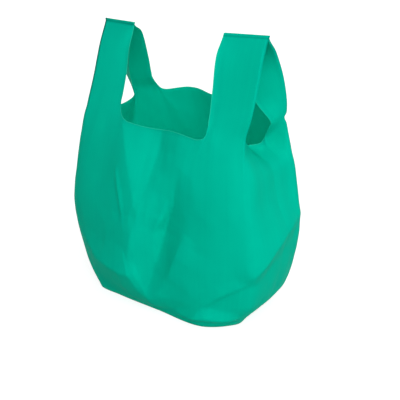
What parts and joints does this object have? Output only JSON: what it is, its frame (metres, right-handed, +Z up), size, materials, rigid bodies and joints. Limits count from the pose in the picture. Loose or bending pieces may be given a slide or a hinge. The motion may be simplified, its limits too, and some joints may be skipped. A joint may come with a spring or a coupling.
{
  "type": "plastic carrier bag",
  "caption": "Thin film carrier bag with tucked side gussets and two welded loop handles, standing open on its folded base",
  "frame": {"origin": "the middle of the base, on the surface that the bag stands on", "axes": "+Z up, -Y out of the front panel, the two handles at +X and -X"},
  "size_m": [0.3484, 0.2086, 0.4175],
  "materials": {
    "green_film": "satin"
  },
  "bodies": {
    "root": {"bag": "green_film"}
  },
  "joints": []
}
